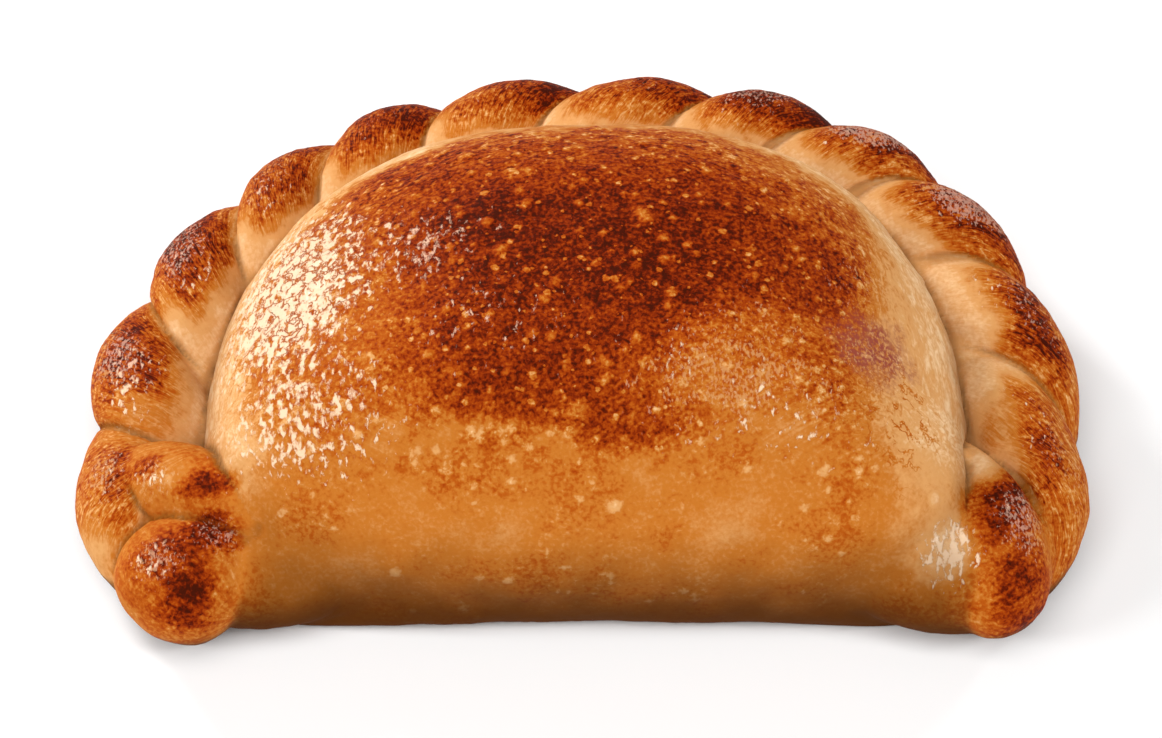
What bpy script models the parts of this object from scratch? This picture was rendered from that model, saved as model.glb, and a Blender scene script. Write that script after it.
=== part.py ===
# An empanada: a half moon of baked dough, full and domed, folded along its front edge and closed round
# the sides and back by a roped rim. Metres, +Z up, the fold at the front (-Y), origin at the middle of
# the flat that it rests on.
#
# Sizes are laid out about a drawing origin: the middle of the widest line from side to side, on the
# floor. The finished solid is moved at the end so that its bounding box stands on the origin.

import math

import bmesh
import bpy
import numpy as np
from mathutils import Matrix

MM = 0.001

# The rim's middle line, seen from above, is a rounded arch behind the widest line.
RIM_HALF_LENGTH = 57.5 * MM
RIM_SHIFT = 0.2 * MM
RIM_DEPTH = 53.6 * MM
RIM_SKEW = 2.0 * MM  # the back of the arch leans to the right
RIM_SQUARENESS = (2.14, 2.33)  # of the arch's left and right shoulder, 2 being an ellipse
RIM_FRONT_DEPTH = 34.0 * MM  # in front of the widest line its ends turn in towards the fold
RIM_LOW = 7.2 * MM  # height of the middle line at the corners
RIM_RISE = 4.5 * MM  # how much higher it runs at the back

# The filled body, inside the rim: a crown above its widest outline and a steep base below it.
BODY_HEIGHT = 36.5 * MM
BODY_HALF_LENGTH = 49.2 * MM
BODY_SHIFT = 0.6 * MM
BODY_BACK = 47.8 * MM
BODY_SQUARENESS = (2.45, 2.42)
PEAK_BACK = 12.0 * MM  # how far the highest point lies behind the widest line
CROWN_SQUARENESS = 2.25
BASE_SQUARENESS = 4.0
SINK = 3.0 * MM  # how deep the base would reach below the floor that cuts it flat

# The fold along the front. It bows inwards between the corners, and more so at its foot, which runs
# out under the ends of the rope.
FOLD_FRONT = 23.4 * MM
FOLD_DENT = 2.2 * MM
FOLD_SQUARENESS = (2.7, 4.4)
FOLD_MIDDLE_HEIGHT = 9.5 * MM
FOOT_FRONT = 26.5 * MM
FOOT_DENT = 5.5 * MM
FOOT_SQUARENESS = (8.0, 7.0)

# The web of dough between the body and the rope.
WEB_INSET = 4.0 * MM  # from the rim's middle line to the web's
WEB_HALF_WIDTH = 6.0 * MM
WEB_HALF_HEIGHT = 4.2 * MM
WEB_FIRST_DEG = 196.0
WEB_LAST_DEG = -22.0

# The rope. A place round its section is counted in degrees from outside, over the top, to inside.
# Each crease between two strands is given, left to right, by where it lies round the rim at the
# inside, where the strand leaves the body, and at the outside.
INSIDE_DEG = 180.0
TURN_OVER_DEG = -40.0  # below these two places the creases close up again underneath
TURN_BACK_DEG = 215.0
CREASES_DEG = (
    (187.0, 208.0), (181.0, 174.3), (168.1, 153.8), (152.0, 134.3), (135.9, 119.5), (117.9, 105.7),
    (102.5, 88.7), (87.8, 75.6), (74.6, 59.1), (58.0, 42.6), (39.0, 23.6), (20.7, 1.8), (5.0, -26.0),
)
ROPE_HALF_WIDTH = 8.2 * MM
ROPE_INNER_HALF_WIDTH = 9.8 * MM
ROPE_HALF_HEIGHT = 7.6 * MM
CREASE_DEPTH = 2.6 * MM
STRAND_FULLNESS = 0.8  # smaller is squarer between the creases

# The ends of the rope, tucked in at the corners. Each lobe's middle line runs from its first point to
# its last and bends towards the one between, all in millimetres.
CORNER_LOBES = {
    "left_inner": {
        "line": ((-59.0, -2.5, 8.5), (-50.5, -6.0, 15.0), (-38.0, -14.5, 7.0)),
        "half_width": 6.0 * MM, "half_height": 5.6 * MM, "fullest": 0.5,
    },
    "left_end": {
        "line": ((-57.0, -20.0, 5.0), (-50.0, -17.5, 9.5), (-38.0, -12.5, 8.0)),
        "half_width": 8.6 * MM, "half_height": 8.2 * MM, "fullest": 0.42,
    },
    "right_end": {
        "line": ((50.0, 2.5, 10.0), (54.5, -9.0, 11.5), (50.0, -24.5, 4.5)),
        "half_width": 6.8 * MM, "half_height": 7.0 * MM, "fullest": 0.6,
    },
}

MERGE_DISTANCE = 0.02 * MM
CUT_TOLERANCE = 0.03 * MM
SHARP_DEG = 50.0
CRUST_COLOUR = (0.55, 0.26, 0.08, 1.0)
CRUST_ROUGHNESS = 0.45

BODY_COLUMNS = 84
CROWN_ROWS = 14
BASE_ROWS = 6
STRAND_STEPS = 8  # rings across one strand
ROPE_SIDES = 20
LOBE_RINGS = 12
LOBE_SIDES = 14
WEB_RINGS = 48
WEB_SIDES = 10


def clear_scene():
    for obj in list(bpy.data.objects):
        bpy.data.objects.remove(obj, do_unlink=True)


def face_outwards(mesh_maker):
    bmesh.ops.recalc_face_normals(mesh_maker, faces=mesh_maker.faces)
    if mesh_maker.calc_volume(signed=True) < 0:
        bmesh.ops.reverse_faces(mesh_maker, faces=mesh_maker.faces)


def tube_mesh(name, rings, first_tip, last_tip):
    """A closed tube of rings of equal length, with a single point at each end."""
    mesh_maker = bmesh.new()
    loops = [[mesh_maker.verts.new(point) for point in ring] for ring in rings]
    for ring, following in zip(loops, loops[1:]):
        for side in range(len(ring)):
            beside = (side + 1) % len(ring)
            mesh_maker.faces.new((ring[side], ring[beside], following[beside], following[side]))
    for ring, tip in ((loops[0], first_tip), (loops[-1], last_tip)):
        point = mesh_maker.verts.new(tip)
        for side in range(len(ring)):
            mesh_maker.faces.new((ring[side], ring[(side + 1) % len(ring)], point))
    face_outwards(mesh_maker)
    mesh = bpy.data.meshes.new(name)
    mesh_maker.to_mesh(mesh)
    mesh_maker.free()
    return mesh


def signed_power(value, exponent):
    return math.copysign(abs(value) ** exponent, value)


def eased_share(step, steps):
    """A share of the way from 0 to 1, in steps that are closer near both ends."""
    return (1 - math.cos(math.pi * step / steps)) / 2


def arch_point(turn, half_length, depth, shift, squareness):
    """A point of a rounded arch at an angle from +X, in radians. Behind the widest line it climbs."""
    across, back = math.cos(turn), max(0.0, math.sin(turn))
    power = 2 / squareness[0 if across < 0 else 1]
    x = shift + half_length * signed_power(across, power) + RIM_SKEW * back ** 2
    return np.array((x, depth * back ** power, RIM_LOW + RIM_RISE * back ** 1.5))


def rim_point(turn):
    """The rim's middle line."""
    point = arch_point(turn, RIM_HALF_LENGTH, RIM_DEPTH, RIM_SHIFT, RIM_SQUARENESS)
    point[1] += RIM_FRONT_DEPTH * min(0.0, math.sin(turn))
    return point


def rim_frame(turn):
    """The middle line's point, with its outward and its upward direction there."""
    small = 1e-4
    along = rim_point(turn - small) - rim_point(turn + small)
    along /= np.linalg.norm(along)
    outward = np.cross((0.0, 0.0, 1.0), along)
    outward /= np.linalg.norm(outward)
    return rim_point(turn), outward, np.cross(along, outward)


def body_outline(turn, front, dent, squareness):
    """The body's widest outline, with its height there."""
    if math.sin(turn) >= 0:
        return arch_point(turn, BODY_HALF_LENGTH, BODY_BACK, BODY_SHIFT, BODY_SQUARENESS)
    power = 2 / squareness[0 if math.cos(turn) < 0 else 1]
    across = signed_power(math.cos(turn), power)
    fullness = -signed_power(math.sin(turn), power)
    middle = (1 - across ** 4) * fullness
    height = RIM_LOW + (FOLD_MIDDLE_HEIGHT - RIM_LOW) * middle
    return np.array((BODY_SHIFT + BODY_HALF_LENGTH * across, dent * middle - front * fullness, height))


def drawn_in(outline, tip, rise, squareness):
    """An outline drawn in and up, or down, towards a tip, on a rounded profile."""
    reach = math.cos(rise) ** (2 / squareness)
    climb = math.sin(rise) ** (2 / squareness)
    points = outline.copy()
    points[:, :2] = tip[:2] + (outline[:, :2] - tip[:2]) * reach
    points[:, 2] += (tip[2] - outline[:, 2]) * climb
    return points


def body_mesh():
    turns = [2 * math.pi * column / BODY_COLUMNS for column in range(BODY_COLUMNS)]
    edge = np.array([body_outline(turn, FOLD_FRONT, FOLD_DENT, FOLD_SQUARENESS) for turn in turns])
    foot = np.array([body_outline(turn, FOOT_FRONT, FOOT_DENT, FOOT_SQUARENESS) for turn in turns])
    peak = np.array((0.0, PEAK_BACK, BODY_HEIGHT))
    bottom = np.array((0.0, PEAK_BACK, -SINK))
    quarter = math.pi / 2
    rings = []
    for row in range(CROWN_ROWS - 1, -1, -1):
        rings.append(drawn_in(edge, peak, quarter * row / CROWN_ROWS, CROWN_SQUARENESS))
    for row in range(1, BASE_ROWS):
        towards_foot = min(1.0, 2 * row / BASE_ROWS)
        outline = edge + (foot - edge) * towards_foot
        rings.append(drawn_in(outline, bottom, quarter * row / BASE_ROWS, BASE_SQUARENESS))
    return tube_mesh("body", rings, peak, bottom)


def crease_turn(crease, place_deg):
    """Where round the rim a crease lies, at a place round the rope's section."""
    inside_deg, outside_deg = crease
    if place_deg > TURN_BACK_DEG:
        share = (place_deg - TURN_BACK_DEG) / (360 + TURN_OVER_DEG - TURN_BACK_DEG)
        place_deg = TURN_BACK_DEG + (TURN_OVER_DEG - TURN_BACK_DEG) * share
    return outside_deg + (inside_deg - outside_deg) * place_deg / INSIDE_DEG


def rope_ring(crease, following, share):
    """A ring round the rope that runs with its strands, at a share of the way to the next crease."""
    lower = CREASE_DEPTH * (1 - math.sin(math.pi * share) ** STRAND_FULLNESS)
    ring = []
    for side in range(ROPE_SIDES):
        place_deg = TURN_OVER_DEG + 360 * side / ROPE_SIDES
        turn = crease_turn(crease, place_deg) * (1 - share) + crease_turn(following, place_deg) * share
        point, outward, upward = rim_frame(math.radians(turn))
        place = math.radians(place_deg)
        half_width = ROPE_HALF_WIDTH if math.cos(place) > 0 else ROPE_INNER_HALF_WIDTH
        sideways = (half_width - lower) * math.cos(place) * outward
        ring.append(point + sideways + (ROPE_HALF_HEIGHT - lower) * math.sin(place) * upward)
    return ring


def rope_mesh():
    rings = []
    for crease, following in zip(CREASES_DEG, CREASES_DEG[1:]):
        for step in range(STRAND_STEPS):
            rings.append(rope_ring(crease, following, eased_share(step, STRAND_STEPS)))
    rings.append(rope_ring(CREASES_DEG[-2], CREASES_DEG[-1], 1.0))
    return tube_mesh("rope", rings, np.mean(rings[0], axis=0), np.mean(rings[-1], axis=0))


def web_mesh():
    first, last = math.radians(WEB_FIRST_DEG), math.radians(WEB_LAST_DEG)
    rings = []
    for step in range(WEB_RINGS + 1):
        point, outward, upward = rim_frame(first + (last - first) * step / WEB_RINGS)
        point = point - WEB_INSET * outward
        ring = []
        for side in range(WEB_SIDES):
            angle = 2 * math.pi * side / WEB_SIDES
            sideways = WEB_HALF_WIDTH * math.cos(angle) * outward
            ring.append(point + sideways + WEB_HALF_HEIGHT * math.sin(angle) * upward)
        rings.append(ring)
    return tube_mesh("web", rings, np.mean(rings[0], axis=0), np.mean(rings[-1], axis=0))


def lobe_mesh(name, line, half_width, half_height, fullest):
    """A long round lobe whose middle line is a simple curve. fullest is a share of its length."""
    start, bend, end = (np.array(point) * MM for point in line)
    shift = math.log(0.5) / math.log(fullest)
    rings = []
    for step in range(1, LOBE_RINGS + 1):
        share = eased_share(step, LOBE_RINGS + 1)
        middle = start * (1 - share) ** 2 + 2 * bend * share * (1 - share) + end * share ** 2
        heading = (bend - start) * (1 - share) + (end - bend) * share
        heading /= np.linalg.norm(heading)
        sideways = np.cross(heading, (0.0, 0.0, 1.0))
        sideways /= np.linalg.norm(sideways)
        upward = np.cross(sideways, heading)
        swell = math.sin(math.pi * share ** shift) ** 0.5
        ring = []
        for side in range(LOBE_SIDES):
            angle = 2 * math.pi * side / LOBE_SIDES
            reach = half_width * math.cos(angle) * sideways + half_height * math.sin(angle) * upward
            ring.append(middle + swell * reach)
        rings.append(ring)
    return tube_mesh(name, rings, start, end)


def join_rope(body, scene):
    """Make the body and everything round it one solid."""
    rope = bpy.data.collections.new("rope")
    scene.collection.children.link(rope)
    meshes = [rope_mesh(), web_mesh()]
    meshes += [lobe_mesh(name, **lobe) for name, lobe in CORNER_LOBES.items()]
    for mesh in meshes:
        rope.objects.link(bpy.data.objects.new(mesh.name, mesh))
    union = body.modifiers.new("rope", "BOOLEAN")
    union.operation = "UNION"
    union.operand_type = "COLLECTION"
    union.collection = rope
    union.solver = "EXACT"
    bpy.context.view_layer.update()
    solid = bpy.data.meshes.new_from_object(body.evaluated_get(bpy.context.evaluated_depsgraph_get()))
    body.modifiers.remove(union)
    body.data = solid
    for obj in list(rope.objects):
        bpy.data.objects.remove(obj, do_unlink=True)
    bpy.data.collections.remove(rope)


def cut_base(mesh):
    """Cut away what lies below the floor, which leaves the flat that the food rests on."""
    mesh_maker = bmesh.new()
    mesh_maker.from_mesh(mesh)
    bmesh.ops.remove_doubles(mesh_maker, verts=mesh_maker.verts, dist=MERGE_DISTANCE)
    geometry = mesh_maker.verts[:] + mesh_maker.edges[:] + mesh_maker.faces[:]
    bmesh.ops.bisect_plane(
        mesh_maker, geom=geometry, dist=MERGE_DISTANCE / 2,
        plane_co=(0, 0, 0), plane_no=(0, 0, 1), clear_inner=True,
    )
    for vertex in mesh_maker.verts:
        if vertex.co.z < CUT_TOLERANCE:
            vertex.co.z = 0.0
    rims = [edge for edge in mesh_maker.edges if edge.is_boundary]
    bmesh.ops.holes_fill(mesh_maker, edges=rims, sides=0)
    bmesh.ops.triangulate(mesh_maker, faces=mesh_maker.faces)
    face_outwards(mesh_maker)
    mesh_maker.to_mesh(mesh)
    mesh_maker.free()


def stand_on_origin(mesh):
    points = np.array([vertex.co for vertex in mesh.vertices])
    low, high = points.min(axis=0), points.max(axis=0)
    middle = (low + high) / 2
    mesh.transform(Matrix.Translation((-middle[0], -middle[1], -low[2])))


def crust_material():
    material = bpy.data.materials.new("baked_crust")
    material.use_nodes = True
    shader = material.node_tree.nodes["Principled BSDF"]
    shader.inputs["Base Color"].default_value = CRUST_COLOUR
    shader.inputs["Roughness"].default_value = CRUST_ROUGHNESS
    shader.inputs["Metallic"].default_value = 0.0
    return material


def main():
    clear_scene()
    scene = bpy.context.scene
    empanada = bpy.data.objects.new("empanada", body_mesh())
    scene.collection.objects.link(empanada)
    join_rope(empanada, scene)
    crust = empanada.data
    crust.name = "empanada"
    cut_base(crust)
    stand_on_origin(crust)
    crust.materials.clear()
    crust.materials.append(crust_material())
    crust.shade_smooth()
    crust.set_sharp_from_angle(angle=math.radians(SHARP_DEG))
    print(f"empanada: {len(crust.polygons)} triangles")


main()
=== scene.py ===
# The empanada's looks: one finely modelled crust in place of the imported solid, baked and egg-washed,
# on a white table in soft studio light.

import math
import random

import bmesh
import bpy
import numpy as np
from mathutils import Matrix, Vector, noise
from mathutils.kdtree import KDTree


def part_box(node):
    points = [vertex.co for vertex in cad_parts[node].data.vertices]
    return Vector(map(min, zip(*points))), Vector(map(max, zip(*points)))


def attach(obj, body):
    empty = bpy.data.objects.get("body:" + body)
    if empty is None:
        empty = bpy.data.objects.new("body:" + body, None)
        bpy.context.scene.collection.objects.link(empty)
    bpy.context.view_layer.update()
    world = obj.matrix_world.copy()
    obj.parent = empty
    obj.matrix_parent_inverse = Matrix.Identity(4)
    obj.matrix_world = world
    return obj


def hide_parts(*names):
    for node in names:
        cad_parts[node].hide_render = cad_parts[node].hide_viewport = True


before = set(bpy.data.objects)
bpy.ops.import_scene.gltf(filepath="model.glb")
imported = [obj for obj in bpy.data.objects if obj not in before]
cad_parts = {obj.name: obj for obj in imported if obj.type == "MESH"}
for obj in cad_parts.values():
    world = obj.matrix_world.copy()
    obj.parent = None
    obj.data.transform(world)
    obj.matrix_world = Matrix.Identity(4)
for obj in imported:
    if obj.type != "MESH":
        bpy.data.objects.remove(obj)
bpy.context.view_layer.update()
boxLow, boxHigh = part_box("empanada")

# Everything is drawn in millimetres about the middle of the widest line from side to side, on the
# table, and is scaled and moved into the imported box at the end.
drawnLength = 129.9
mm = (boxHigh.x - boxLow.x) / drawnLength


rim = {  # the middle line of the roped rim, an arch seen from above
    "halfLength": 57.5, "depth": 53.6, "shift": 0.2,
    "squareness": (2.14, 2.33),  # of its left and right shoulder, 2 being an ellipse
    "skew": 2.0,  # the back leans to the right
    "frontDepth": 34.0,  # in front of the widest line its ends turn in
    "low": 7.2, "rise": 4.5,  # height at the corners, and how much higher it runs at the back
    "turnsDeg": (-50.0, 230.0), "turnSteps": 4481,  # the stretch along which points are placed
}


def signedPower(value, exponent):
    return math.copysign(abs(value) ** exponent, value)


def easedShare(step, steps):
    return (1 - math.cos(math.pi * step / steps)) / 2


def archPoint(turn, halfLength, depth, shift, squareness):
    across = math.cos(turn)
    back = max(0.0, math.sin(turn))
    power = 2 / squareness[0 if across < 0 else 1]
    x = shift + halfLength * signedPower(across, power) + rim["skew"] * back ** 2
    return np.array((x, depth * back ** power, rim["low"] + rim["rise"] * back ** 1.5))


def rimPoint(turn):
    point = archPoint(turn, rim["halfLength"], rim["depth"], rim["shift"], rim["squareness"])
    point[1] += rim["frontDepth"] * min(0.0, math.sin(turn))
    return point


def rimFrame(turn):
    # the middle line's point with its outward and upward direction
    small = 1e-4
    along = rimPoint(turn - small) - rimPoint(turn + small)
    along /= np.linalg.norm(along)
    outward = np.cross((0.0, 0.0, 1.0), along)
    outward /= np.linalg.norm(outward)
    return rimPoint(turn), outward, np.cross(along, outward)


def tubeMesh(name, rings, firstTip, lastTip):
    # a closed tube of rings of equal length, with a single point at each end
    sides = len(rings[0])
    points = [tuple(point) for ring in rings for point in ring]
    faces = []
    for row in range(len(rings) - 1):
        for side in range(sides):
            beside = (side + 1) % sides
            start, following = row * sides, (row + 1) * sides
            faces.append((start + side, start + beside, following + beside, following + side))
    first, last = len(points), len(points) + 1
    points += [tuple(firstTip), tuple(lastTip)]
    end = (len(rings) - 1) * sides
    for side in range(sides):
        beside = (side + 1) % sides
        faces.append((beside, side, first))
        faces.append((end + side, end + beside, last))
    mesh = bpy.data.meshes.new(name)
    mesh.from_pydata(points, [], faces)
    return mesh


dome = {  # the filled body
    "height": 36.5, "halfLength": 49.2, "back": 47.8, "shift": 0.6, "squareness": (2.45, 2.42),
    "peakBack": 12.0, "crownSquareness": 2.25, "baseSquareness": 4.0, "sink": 3.0,
    "columns": 280, "crownRows": 60, "baseRows": 24,
}

fold = {  # the dough folded under along the front, which bows in between the corners
    "front": 23.4, "dent": 2.2, "squareness": (2.7, 4.4), "middleHeight": 9.5,
    "footFront": 26.5, "footDent": 5.5, "footSquareness": (8.0, 7.0),
}


def bodyOutline(turn, front, dent, squareness):
    if math.sin(turn) >= 0:
        return archPoint(turn, dome["halfLength"], dome["back"], dome["shift"], dome["squareness"])
    power = 2 / squareness[0 if math.cos(turn) < 0 else 1]
    across = signedPower(math.cos(turn), power)
    fullness = -signedPower(math.sin(turn), power)
    middle = (1 - across ** 4) * fullness
    x = dome["shift"] + dome["halfLength"] * across
    height = rim["low"] + (fold["middleHeight"] - rim["low"]) * middle
    return np.array((x, dent * middle - front * fullness, height))


def drawnIn(outline, tip, rise, squareness):
    # an outline drawn in and up, or down, towards a tip on a rounded profile
    reach = math.cos(rise) ** (2 / squareness)
    climb = math.sin(rise) ** (2 / squareness)
    points = outline.copy()
    points[:, :2] = tip[:2] + (outline[:, :2] - tip[:2]) * reach
    points[:, 2] += (tip[2] - outline[:, 2]) * climb
    return points


def bodyMesh():
    turns = [2 * math.pi * column / dome["columns"] for column in range(dome["columns"])]
    edgeShape = fold["front"], fold["dent"], fold["squareness"]
    footShape = fold["footFront"], fold["footDent"], fold["footSquareness"]
    edge = np.array([bodyOutline(turn, *edgeShape) for turn in turns])
    foot = np.array([bodyOutline(turn, *footShape) for turn in turns])
    peak = np.array((0.0, dome["peakBack"], dome["height"]))
    bottom = np.array((0.0, dome["peakBack"], -dome["sink"]))
    quarter = math.pi / 2
    rings = []
    for row in range(dome["crownRows"] - 1, -1, -1):
        rings.append(drawnIn(edge, peak, quarter * row / dome["crownRows"], dome["crownSquareness"]))
    for row in range(1, dome["baseRows"]):
        towardsFoot = min(1.0, 2 * row / dome["baseRows"])
        outline = edge + (foot - edge) * towardsFoot
        rings.append(drawnIn(outline, bottom, quarter * row / dome["baseRows"], dome["baseSquareness"]))
    return tubeMesh("body", rings, peak, bottom)


rope = {
    "halfWidth": 8.2, "innerHalfWidth": 9.8, "halfHeight": 7.6,
    "creaseDepth": 3.4, "fullness": 0.62,  # smaller is squarer between the creases
    "insideDeg": 180.0, "turnOverDeg": -40.0, "turnBackDeg": 215.0,
    "strandSteps": 30, "sides": 84,
    # where each crease lies round the rim, at its inside and at its outside, in degrees
    "creasesDeg": (
        (187.0, 208.0), (181.0, 174.3), (168.1, 153.8), (152.0, 134.3), (135.9, 119.5), (117.9, 105.7),
        (102.5, 88.7), (87.8, 75.6), (74.6, 59.1), (58.0, 42.6), (39.0, 23.6), (20.7, 1.8), (5.0, -26.0),
    ),
}

web = {  # the dough between the body and the rope
    "inset": 4.0, "halfWidth": 6.0, "halfHeight": 4.2, "firstDeg": 196.0, "lastDeg": -22.0,
    "rings": 200, "sides": 32,
}


def creaseTurn(crease, placeDeg):
    # where round the rim a crease lies, at a place round the rope's section
    insideDeg, outsideDeg = crease
    share = (placeDeg - rope["turnBackDeg"]) / (360 + rope["turnOverDeg"] - rope["turnBackDeg"])
    closing = rope["turnBackDeg"] + (rope["turnOverDeg"] - rope["turnBackDeg"]) * share
    leadDeg = np.where(share > 0, closing, placeDeg)
    return outsideDeg + (insideDeg - outsideDeg) * leadDeg / rope["insideDeg"]


def ropeRing(crease, following, share):
    lower = rope["creaseDepth"] * (1 - math.sin(math.pi * share) ** rope["fullness"])
    ring = []
    for side in range(rope["sides"]):
        placeDeg = rope["turnOverDeg"] + 360 * side / rope["sides"]
        turn = creaseTurn(crease, placeDeg) * (1 - share) + creaseTurn(following, placeDeg) * share
        point, outward, upward = rimFrame(math.radians(turn))
        place = math.radians(placeDeg)
        halfWidth = rope["halfWidth"] if math.cos(place) > 0 else rope["innerHalfWidth"]
        sideways = (halfWidth - lower) * math.cos(place) * outward
        ring.append(point + sideways + (rope["halfHeight"] - lower) * math.sin(place) * upward)
    return ring


def ropeMesh():
    creases = rope["creasesDeg"]
    rings = []
    for crease, following in zip(creases, creases[1:]):
        for step in range(rope["strandSteps"]):
            rings.append(ropeRing(crease, following, easedShare(step, rope["strandSteps"])))
    rings.append(ropeRing(creases[-2], creases[-1], 1.0))
    return tubeMesh("rope", rings, np.mean(rings[0], axis=0), np.mean(rings[-1], axis=0))


def webMesh():
    first, last = math.radians(web["firstDeg"]), math.radians(web["lastDeg"])
    rings = []
    for step in range(web["rings"] + 1):
        point, outward, upward = rimFrame(first + (last - first) * step / web["rings"])
        point = point - web["inset"] * outward
        ring = []
        for side in range(web["sides"]):
            angle = 2 * math.pi * side / web["sides"]
            sideways = web["halfWidth"] * math.cos(angle) * outward
            ring.append(point + sideways + web["halfHeight"] * math.sin(angle) * upward)
        rings.append(ring)
    return tubeMesh("web", rings, np.mean(rings[0], axis=0), np.mean(rings[-1], axis=0))


# the rope's ends, tucked in at the corners: each middle line runs from its first point to its last
# and bends towards the one between
cornerLobes = {
    "leftInner": {
        "line": ((-59.0, -2.5, 8.5), (-50.5, -6.0, 14.8), (-35.0, -14.2, 14.0)),
        "halfWidth": 5.8, "halfHeight": 5.4, "fullest": 0.42,
    },
    "leftEnd": {
        "line": ((-57.0, -20.0, 5.0), (-50.0, -17.5, 9.5), (-39.5, -13.5, 8.0)),
        "halfWidth": 8.6, "halfHeight": 8.2, "fullest": 0.44,
    },
    "leftBridge": {
        "line": ((-52.0, -17.0, 6.0), (-40.0, -16.5, 7.5), (-24.0, -14.5, 6.0)),
        "halfWidth": 6.6, "halfHeight": 6.8, "fullest": 0.45,
    },
    "rightBridge": {
        "line": ((58.0, -14.5, 8.0), (47.0, -20.6, 8.0), (30.0, -15.0, 6.5)),
        "halfWidth": 6.6, "halfHeight": 7.4, "fullest": 0.40,
    },
    "rightEnd": {
        "line": ((49.0, 1.5, 12.0), (54.0, -9.0, 11.8), (51.0, -24.8, 5.5)),
        "halfWidth": 7.4, "halfHeight": 7.2, "fullest": 0.72,
    },
}
lobeRings = 48
lobeSides = 48


def lobeMesh(name, line, halfWidth, halfHeight, fullest):
    start, bend, end = (np.array(point) for point in line)
    shift = math.log(0.5) / math.log(fullest)
    rings = []
    for step in range(1, lobeRings + 1):
        share = easedShare(step, lobeRings + 1)
        middle = start * (1 - share) ** 2 + 2 * bend * share * (1 - share) + end * share ** 2
        heading = (bend - start) * (1 - share) + (end - bend) * share
        heading /= np.linalg.norm(heading)
        sideways = np.cross(heading, (0.0, 0.0, 1.0))
        sideways /= np.linalg.norm(sideways)
        upward = np.cross(sideways, heading)
        swell = math.sin(math.pi * share ** shift) ** 0.5
        ring = []
        for side in range(lobeSides):
            angle = 2 * math.pi * side / lobeSides
            reach = halfWidth * math.cos(angle) * sideways + halfHeight * math.sin(angle) * upward
            ring.append(middle + swell * reach)
        rings.append(ring)
    return tubeMesh(name, rings, start, end)


crustMesh = {
    "voxel": 0.44, "smoothing": 3,  # millimetres, and rounds of smoothing over the joins
    "fillRounds": 180, "fillPasses": 2,  # more of them fill a soft join wider
    "maskRounds": 9, "softRounds": 120,  # how far the pieces' looks run into each other
    "hollowRounds": 40, "hollowBlur": 5,  # how wide the hollows are that count as creases
}


def patch(at, reach, soft=0.8, ragged=1.0, **amounts):
    # a place on the crust, its middle and reach in drawn millimetres, with a soft or ragged edge
    return {"at": np.array(at), "reach": np.array(reach), "soft": soft, "ragged": ragged, **amounts}


softJoins = {  # where one piece runs into the next without a crease, in drawn millimetres
    "leftEndToFront": patch((-35, -18, 7), (11, 9, 10), 0.4),
    "innerTail": patch((-40, -10, 13), (6, 5, 6), 0.5),
    "rightEndToFront": patch((43, -16, 8), (9, 9, 10), 0.4),
    "rightEndToRope": patch((58.5, -17, 7), (4.5, 7, 7), 0.5),
}


def meshValues(items, field, width, kind=np.float32):
    values = np.zeros(len(items) * width, kind)
    items.foreach_get(field, values)
    return values.reshape(-1, width)


def meshPoints(mesh):
    return meshValues(mesh.vertices, "co", 3).astype(float)


def meshNormals(mesh):
    return meshValues(mesh.vertex_normals, "vector", 3).astype(float)


def meshEdges(mesh):
    return meshValues(mesh.edges, "vertices", 2, np.int32)


def movePoints(mesh, points):
    mesh.vertices.foreach_set("co", points.astype(np.float32).ravel())
    mesh.update()


def joinedMesh(name, meshes):
    points, faces, start = [], [], 0
    for mesh in meshes:
        points += [tuple(vertex.co) for vertex in mesh.vertices]
        faces += [tuple(start + corner for corner in face.vertices) for face in mesh.polygons]
        start += len(mesh.vertices)
    joined = bpy.data.meshes.new(name)
    joined.from_pydata(points, [], faces)
    return joined


def keepLargestShell(mesh):
    # the remesh can leave small closed pockets inside the dough
    work = bmesh.new()
    work.from_mesh(mesh)
    unseen = set(work.verts)
    shells = []
    while unseen:
        waiting = [unseen.pop()]
        shell = []
        while waiting:
            point = waiting.pop()
            shell.append(point)
            for edge in point.link_edges:
                other = edge.other_vert(point)
                if other in unseen:
                    unseen.remove(other)
                    waiting.append(other)
        shells.append(shell)
    shells.sort(key=len)
    for shell in shells[:-1]:
        bmesh.ops.delete(work, geom=shell, context="VERTS")
    work.to_mesh(mesh)
    work.free()
    print("pockets removed:", len(shells) - 1)


def crustSkin(meshes):
    # one closed skin round all the pieces, flat where it stands on the table
    crust = bpy.data.objects.new("crust", joinedMesh("crust", meshes))
    bpy.context.scene.collection.objects.link(crust)
    remesh = crust.modifiers.new("oneSkin", "REMESH")
    remesh.mode = "VOXEL"
    remesh.voxel_size = crustMesh["voxel"]
    smooth = crust.modifiers.new("softJoins", "SMOOTH")
    smooth.factor = 0.5
    smooth.iterations = crustMesh["smoothing"]
    graph = bpy.context.evaluated_depsgraph_get()
    skin = bpy.data.meshes.new_from_object(crust.evaluated_get(graph))
    crust.modifiers.clear()
    crust.data = skin
    keepLargestShell(skin)
    points = meshPoints(skin)
    points[:, 2] = np.maximum(points[:, 2], 0.0)
    movePoints(skin, points)
    return crust


def spread(values, edges, rounds):
    # each point's value, averaged with its neighbours' again and again
    values = np.array(values, float).reshape(len(values), -1)
    ends = np.concatenate((edges[:, 0], edges[:, 1]))
    others = np.concatenate((edges[:, 1], edges[:, 0]))
    counts = np.maximum(np.bincount(ends, minlength=len(values)), 1)
    for _ in range(rounds):
        for column in range(values.shape[1]):
            sums = np.bincount(ends, weights=values[others, column], minlength=len(values))
            values[:, column] = (values[:, column] + sums / counts) / 2
    return values


def smoothStep(low, high, values):
    share = np.clip((values - low) / (high - low), 0.0, 1.0)
    return share * share * (3 - 2 * share)


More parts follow.
